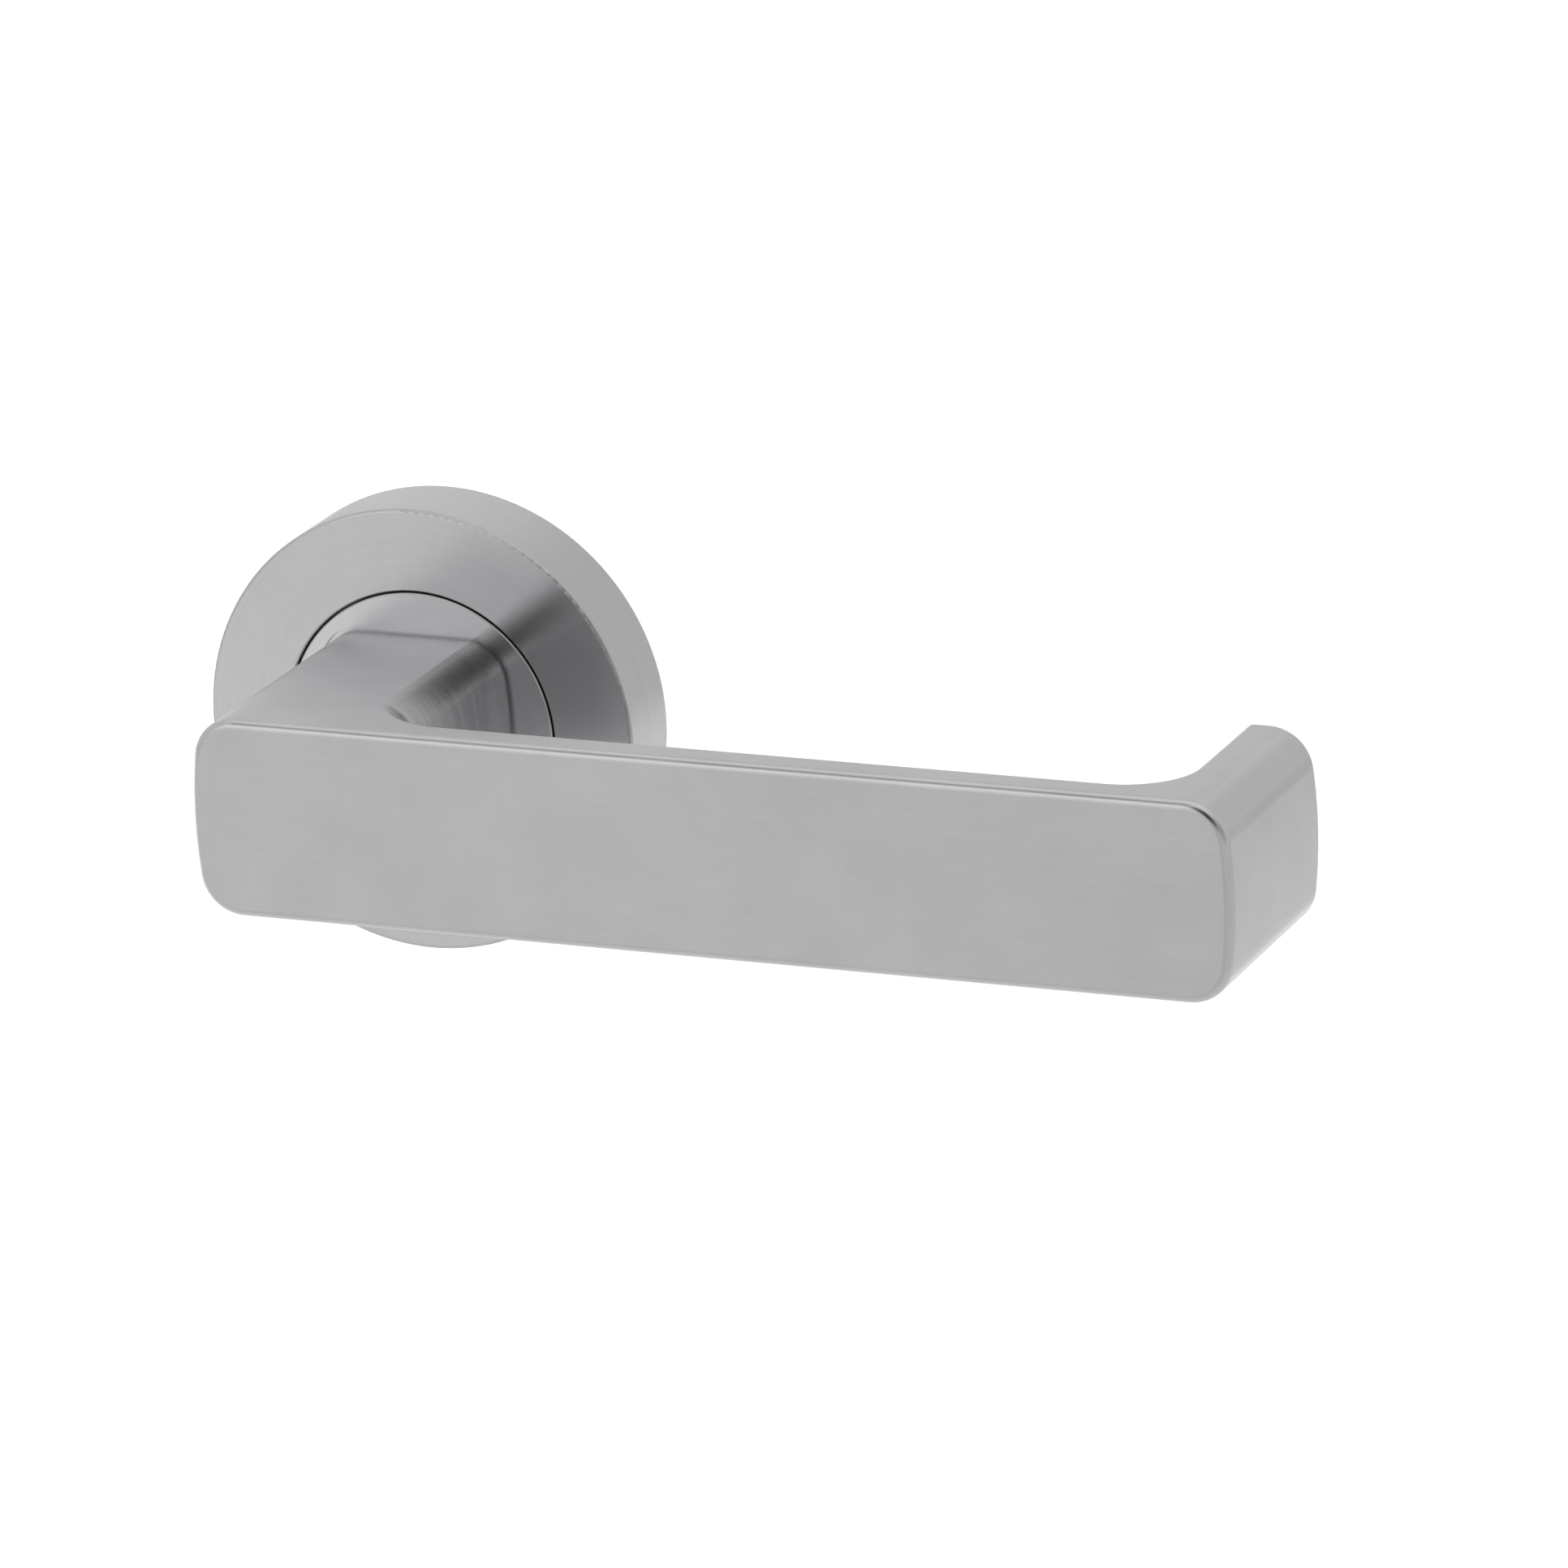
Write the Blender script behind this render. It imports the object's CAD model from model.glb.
import math

import bpy
from mathutils import Matrix, Vector


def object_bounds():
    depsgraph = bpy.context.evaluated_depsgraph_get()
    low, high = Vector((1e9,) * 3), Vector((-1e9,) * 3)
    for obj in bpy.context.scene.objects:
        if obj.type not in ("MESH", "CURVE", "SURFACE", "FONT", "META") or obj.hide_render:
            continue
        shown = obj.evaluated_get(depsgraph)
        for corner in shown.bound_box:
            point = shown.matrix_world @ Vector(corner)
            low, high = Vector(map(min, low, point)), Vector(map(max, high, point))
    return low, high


# Lengths are in metres, in the frame of the CAD model: +Y runs into the door, +Z is up.

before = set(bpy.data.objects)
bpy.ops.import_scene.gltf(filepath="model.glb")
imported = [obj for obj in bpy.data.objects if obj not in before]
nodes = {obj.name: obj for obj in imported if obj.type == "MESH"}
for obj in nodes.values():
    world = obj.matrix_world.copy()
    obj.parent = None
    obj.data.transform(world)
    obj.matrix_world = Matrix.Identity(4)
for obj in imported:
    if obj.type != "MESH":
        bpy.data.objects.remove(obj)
cad_low, cad_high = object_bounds()

# Camera: where it looks from, worked out from the perspective of the handle.
CAMERA_AZIMUTH = math.radians(22.51)
CAMERA_ELEVATION = math.radians(17.57)
CAMERA_ROLL = math.radians(-2.25)
CAMERA_DISTANCE = 1.1368
CAMERA_TARGET = Vector((0.0525, -0.030, 0.0042))
CAMERA_LENS = 238.3
CAMERA_SENSOR = 36.0

# Stage and light.
FLOOR_DROP = 0.35
FLOOR_SIZE = 14.0
FLOOR_COLOR = (0.93, 0.93, 0.93, 1.0)
LAMP_SIZE = 0.3
WORLD_LEVEL = 0.75

# What the studio adds to that level round a direction: its inner and outer angle in degrees, and how much.
WORLD_PATCHES = [
    ((0.0, 0.0, 1.0), 10.0, 45.0, 0.22),
    ((-0.36, -0.88, 0.30), 8.0, 30.0, 0.45),
    ((-0.30, -0.45, 0.84), 3.0, 16.0, -0.45),
    ((0.24, -0.80, 0.52), 10.0, 33.0, -0.72),
    ((0.9, -0.4, 0.2), 10.0, 40.0, -0.28),
    ((0.36, 0.88, 0.24), 5.0, 32.0, -0.06),
    ((-0.365, 0.88, 0.30), 10.0, 30.0, 0.10),
]


# Materials.
STEEL_TINT = (1.0, 0.986, 1.006)
GRAIN_STRENGTH = 0.35
GRAIN_DEPTH = 0.00001
PLAIN_DEPTH = 0.00003
POLAR_SCALE = 0.02


class Shader:
    """A material's node tree, with short calls for the nodes used here."""

    def __init__(self, name):
        self.material = bpy.data.materials.new(name)
        self.material.use_nodes = True
        self.tree = self.material.node_tree
        self.tree.nodes.clear()
        self.output = self.tree.nodes.new("ShaderNodeOutputMaterial")

    def node(self, kind, settings=None, **inputs):
        """Adds a node; each input is a number, a tuple or another node's socket."""
        node = self.tree.nodes.new("ShaderNode" + kind)
        for key, value in (settings or {}).items():
            setattr(node, key, value)
        for key, value in inputs.items():
            socket = node.inputs[int(key[1:])] if key[0] == "_" else node.inputs[key.replace("_", " ")]
            if isinstance(value, bpy.types.NodeSocket):
                self.tree.links.new(value, socket)
            else:
                socket.default_value = value
        return node

    def math(self, operation, *values):
        """Arithmetic on numbers or sockets."""
        sockets = {f"_{i}": value for i, value in enumerate(values)}
        return self.node("Math", {"operation": operation}, **sockets).outputs[0]

    def vector(self, operation, *values):
        """Arithmetic on vectors; a dot product or a length gives a number."""
        sockets = {f"_{i}": value for i, value in enumerate(values)}
        node = self.node("VectorMath", {"operation": operation}, **sockets)
        return node.outputs["Value" if operation in ("DOT_PRODUCT", "LENGTH") else "Vector"]

    def parts(self, vector):
        """The x, y and z of a vector."""
        split = self.node("SeparateXYZ", Vector=vector)
        return split.outputs[0], split.outputs[1], split.outputs[2]

    def join(self, x, y, z):
        """A vector from its x, y and z."""
        return self.node("CombineXYZ", X=x, Y=y, Z=z).outputs[0]

    def ramp(self, value, low, high, to_low=0.0, to_high=1.0):
        """Smooth step from to_low at low to to_high at high."""
        node = self.node("MapRange", {"interpolation_type": "SMOOTHSTEP"}, Value=value)
        for key, number in (("From Min", low), ("From Max", high), ("To Min", to_low), ("To Max", to_high)):
            node.inputs[key].default_value = number
        return node.outputs[0]

    def blend(self, factor, first, second):
        """Numbers mixed by a factor."""
        node = self.node("Mix", {"data_type": "FLOAT"}, _0=factor, _2=first, _3=second)
        return node.outputs[0]

    def noise(self, vector, size, detail=2.0, roughness=0.5):
        """Noise whose features are size metres along x, y and z; 0.5 on average."""
        scale = tuple(1.0 / length for length in size)
        place = self.vector("MULTIPLY", vector, scale)
        node = self.node("TexNoise", Vector=place, Scale=1.0, Detail=detail, Roughness=roughness)
        return node.outputs[0]

    def vary(self, base, pattern, amount):
        """A base value that moves with a pattern by up to half the amount each way."""
        offset = self.math("SUBTRACT", pattern, 0.5)
        return self.math("ADD", base, self.math("MULTIPLY", offset, amount))

    def finish(self, surface):
        """Puts a surface on the output and gives the material."""
        self.tree.links.new(surface.outputs[0], self.output.inputs["Surface"])
        return self.material


def grey_tint(shader, level, tint):
    """A grey level made into a colour of a tint."""
    scaled = [shader.math("MULTIPLY", level, part) for part in tint]
    return shader.node("CombineColor", Red=scaled[0], Green=scaled[1], Blue=scaled[2]).outputs[0]


def across_grain(shader, normal, grain):
    """The direction in which a brushed surface spreads light, in the world's axes."""
    across = shader.vector("NORMALIZE", shader.vector("CROSS_PRODUCT", normal, grain))
    turn = shader.node(
        "VectorTransform",
        {"vector_type": "VECTOR", "convert_from": "OBJECT", "convert_to": "WORLD"},
        Vector=across,
    )
    return turn.outputs[0]


def lever_steel():
    """Satin steel brushed along the bar, and up and down on the faces that look sideways."""
    shader = Shader("lever_steel")
    place = shader.node("TexCoord")
    point = place.outputs["Object"]
    normal = place.outputs["Normal"]
    nx, ny, nz = (shader.math("ABSOLUTE", part) for part in shader.parts(normal))

    sideways = shader.ramp(nx, 0.25, 0.98)
    along = shader.noise(point, (0.009, 0.00022, 0.00022), detail=3.0)
    upright = shader.noise(point, (0.00022, 0.0003, 0.006), detail=3.0)
    grain = shader.blend(sideways, along, upright)

    warp = shader.noise(point, (0.004, 0.004, 0.004))
    px, py, pz = shader.parts(point)
    swayed = shader.join(px, shader.math("ADD", py, shader.math("MULTIPLY", warp, 0.0012)), pz)
    waves = shader.noise(swayed, (0.05, 0.0007, 0.011), detail=1.0)
    cloud = shader.noise(point, (0.007, 0.007, 0.007), detail=3.0)
    largest = shader.math("MAXIMUM", nx, shader.math("MAXIMUM", ny, nz))
    edge = shader.ramp(largest, 0.90, 0.985, 1.0, 0.0)

    level = shader.vary(0.53, grain, 0.06)
    level = shader.vary(level, cloud, 0.07)
    level = shader.math("ADD", level, shader.math("MULTIPLY", edge, 0.05))
    on_neck = shader.math("MULTIPLY", sideways, shader.ramp(px, 0.016, 0.030, 1.0, 0.0))
    chatter = shader.math("MULTIPLY", shader.math("SUBTRACT", waves, 0.5), on_neck)
    level = shader.math("ADD", level, shader.math("MULTIPLY", chatter, 0.22))
    roughness = shader.vary(0.33, grain, 0.12)
    roughness = shader.math("SUBTRACT", roughness, shader.math("MULTIPLY", edge, 0.10))

    relief = shader.math("ADD", grain, shader.math("MULTIPLY", chatter, 5.0))
    bump = shader.node("Bump", Height=relief, Strength=GRAIN_STRENGTH, Distance=GRAIN_DEPTH)

    lengthwise = shader.math("SUBTRACT", 1.0, sideways)
    grain_line = shader.join(lengthwise, 0.0, sideways)
    surface = shader.node(
        "BsdfPrincipled",
        Base_Color=grey_tint(shader, level, STEEL_TINT),
        Metallic=1.0,
        Roughness=roughness,
        Anisotropic=0.40,
        Tangent=across_grain(shader, normal, grain_line),
        Normal=bump.outputs[0],
    )
    return shader.finish(surface)


def turned_steel(name, bright):
    """Satin steel turned on a lathe: its fine grooves run round the spindle."""
    shader = Shader(name)
    place = shader.node("TexCoord")
    point = place.outputs["Object"]
    normal = place.outputs["Normal"]
    px, py, pz = shader.parts(point)
    radius = shader.vector("LENGTH", shader.join(px, 0.0, pz))
    angle = shader.math("ARCTAN2", pz, px)
    around = shader.math("MULTIPLY", angle, POLAR_SCALE)
    polar = shader.join(radius, py, around)

    grain = shader.noise(polar, (0.00018, 0.00018, 0.012), detail=3.0)
    cloud = shader.noise(point, (0.006, 0.006, 0.006), detail=3.0)
    streak = shader.noise(shader.join(0.0, 0.0, around), (1.0, 1.0, 0.003))

    level = shader.vary(bright, grain, 0.08)
    level = shader.vary(level, cloud, 0.03)
    roughness = shader.vary(0.22, streak, 0.08)

    nx, ny, nz = shader.parts(normal)
    outward = shader.vector("LENGTH", shader.join(nx, 0.0, nz))
    squarest = shader.math("MAXIMUM", shader.math("ABSOLUTE", ny), outward)
    edge = shader.ramp(squarest, 0.93, 0.99, 1.0, 0.0)
    roughness = shader.math("ADD", roughness, shader.math("MULTIPLY", edge, 0.12))

    bump = shader.node("Bump", Height=grain, Strength=GRAIN_STRENGTH, Distance=GRAIN_DEPTH)
    round_line = shader.vector("NORMALIZE", shader.join(pz, 0.0, shader.math("MULTIPLY", px, -1.0)))
    surface = shader.node(
        "BsdfPrincipled",
        Base_Color=grey_tint(shader, level, STEEL_TINT),
        Metallic=1.0,
        Roughness=roughness,
        Anisotropic=0.78,
        Tangent=across_grain(shader, normal, round_line),
        Normal=bump.outputs[0],
    )
    return shader.finish(surface)


def plain_metal(name, color, roughness, texture, metallic=1.0):
    """A metal or plastic with a fine surface texture and slight unevenness of colour."""
    shader = Shader(name)
    point = shader.node("TexCoord").outputs["Object"]
    fine = shader.noise(point, (texture, texture, texture), detail=3.0)
    cloud = shader.noise(point, (0.003, 0.003, 0.003))
    level = shader.vary(1.0, cloud, 0.25)
    level = shader.vary(level, fine, 0.15)
    rough = shader.vary(roughness, fine, 0.2)
    bump = shader.node("Bump", Height=fine, Strength=0.5, Distance=PLAIN_DEPTH)
    surface = shader.node(
        "BsdfPrincipled",
        Base_Color=grey_tint(shader, level, color),
        Metallic=metallic,
        Roughness=rough,
        Normal=bump.outputs[0],
    )
    return shader.finish(surface)


def dress(names, material):
    """Puts a material in every slot of the named nodes."""
    for name in names:
        for slot in nodes[name].material_slots:
            slot.material = material


dress(["lever"], lever_steel())
dress(["rose_cover"], turned_steel("turned_steel", 0.55))
dress(["neck_disc"], turned_steel("turned_disc", 0.63))
dress(["driver", "snap_ring", "return_spring"], plain_metal("plain_steel", (0.40, 0.40, 0.39), 0.35, 0.0003))
dress(["circlip", "grub_screw"], plain_metal("black_steel", (0.05, 0.05, 0.055), 0.45, 0.0003))
dress(["spindle", "post_top", "post_bottom"], plain_metal("zinc_plate", (0.55, 0.57, 0.60), 0.32, 0.0005))
dress(["sub_rose"], plain_metal("die_cast", (0.36, 0.37, 0.38), 0.55, 0.0004))
dress(["bush"], plain_metal("nylon", (0.70, 0.68, 0.62), 0.45, 0.0004, metallic=0.0))
dress(["gasket"], plain_metal("foam", (0.03, 0.03, 0.03), 0.85, 0.0006, metallic=0.0))


# Stage, light and camera.

def make_floor():
    """The pale floor under the handle."""
    half = FLOOR_SIZE / 2
    height = cad_low[2] - FLOOR_DROP
    mesh = bpy.data.meshes.new("floor")
    corners = [
        (-half, -half, height),
        (half, -half, height),
        (half, half, height),
        (-half, half, height),
    ]
    mesh.from_pydata(corners, [], [(0, 1, 2, 3)])
    floor = bpy.data.objects.new("floor", mesh)
    bpy.context.scene.collection.objects.link(floor)
    shader = Shader("floor")
    surface = shader.node("BsdfDiffuse", Color=FLOOR_COLOR)
    mesh.materials.append(shader.finish(surface))


def make_world():
    """A white studio, brighter or darker in each patch of directions."""
    world = bpy.data.worlds.new("studio")
    world.use_nodes = True
    tree = world.node_tree
    tree.nodes.clear()
    place = tree.nodes.new("ShaderNodeTexCoord").outputs["Generated"]
    total = WORLD_LEVEL
    for direction, inner, outer, added in WORLD_PATCHES:
        dot = tree.nodes.new("ShaderNodeVectorMath")
        dot.operation = "DOT_PRODUCT"
        dot.inputs[1].default_value = Vector(direction).normalized()
        tree.links.new(place, dot.inputs[0])
        patch = tree.nodes.new("ShaderNodeMapRange")
        patch.interpolation_type = "SMOOTHSTEP"
        patch.inputs["From Min"].default_value = math.cos(math.radians(outer))
        patch.inputs["From Max"].default_value = math.cos(math.radians(inner))
        patch.inputs["To Max"].default_value = added
        tree.links.new(dot.outputs["Value"], patch.inputs["Value"])
        add = tree.nodes.new("ShaderNodeMath")
        if isinstance(total, float):
            add.inputs[0].default_value = total
        else:
            tree.links.new(total, add.inputs[0])
        tree.links.new(patch.outputs[0], add.inputs[1])
        total = add.outputs[0]
    light = tree.nodes.new("ShaderNodeBackground")
    output = tree.nodes.new("ShaderNodeOutputWorld")
    tree.links.new(total, light.inputs["Color"])
    tree.links.new(light.outputs[0], output.inputs["Surface"])
    bpy.context.scene.world = world


def make_spot(name, place, toward, power, cone):
    """A soft lamp for the floor alone, which the metal doesn't mirror, aimed at a point."""
    data = bpy.data.lights.new(name, "SPOT")
    data.energy = power
    data.spot_size = math.radians(cone)
    data.spot_blend = 1.0
    data.shadow_soft_size = LAMP_SIZE
    lamp = bpy.data.objects.new(name, data)
    lamp.visible_glossy = False
    lamp.location = place
    lamp.rotation_mode = "QUATERNION"
    lamp.rotation_quaternion = (Vector(place) - Vector(toward)).to_track_quat("Z", "Y")
    bpy.context.scene.collection.objects.link(lamp)


def make_camera():
    """The camera, looking at its target from the photograph's angle."""
    side = Vector((math.cos(CAMERA_AZIMUTH), math.sin(CAMERA_AZIMUTH), 0.0))
    level = math.cos(CAMERA_ELEVATION)
    back = Vector((
        math.sin(CAMERA_AZIMUTH) * level,
        -math.cos(CAMERA_AZIMUTH) * level,
        math.sin(CAMERA_ELEVATION),
    ))
    up = back.cross(side)
    turn = math.cos(CAMERA_ROLL)
    tilt = math.sin(CAMERA_ROLL)
    axes = Matrix((turn * side + tilt * up, turn * up - tilt * side, back)).transposed()
    data = bpy.data.cameras.new("camera")
    data.sensor_width = CAMERA_SENSOR
    data.lens = CAMERA_LENS
    camera = bpy.data.objects.new("camera", data)
    place = CAMERA_TARGET + CAMERA_DISTANCE * back
    camera.matrix_world = Matrix.Translation(place) @ axes.to_4x4()
    bpy.context.scene.collection.objects.link(camera)
    bpy.context.scene.camera = camera


make_floor()
make_world()
make_spot("back_pool", (-0.6, 1.2, 1.6), (-0.6, 1.2, -0.36), 76.0, 110.0)
make_spot("front_pool", (-0.8, -1.2, 1.6), (-0.8, -1.2, -0.36), 55.0, 50.0)
make_camera()
bpy.context.scene.view_settings.view_transform = "Standard"
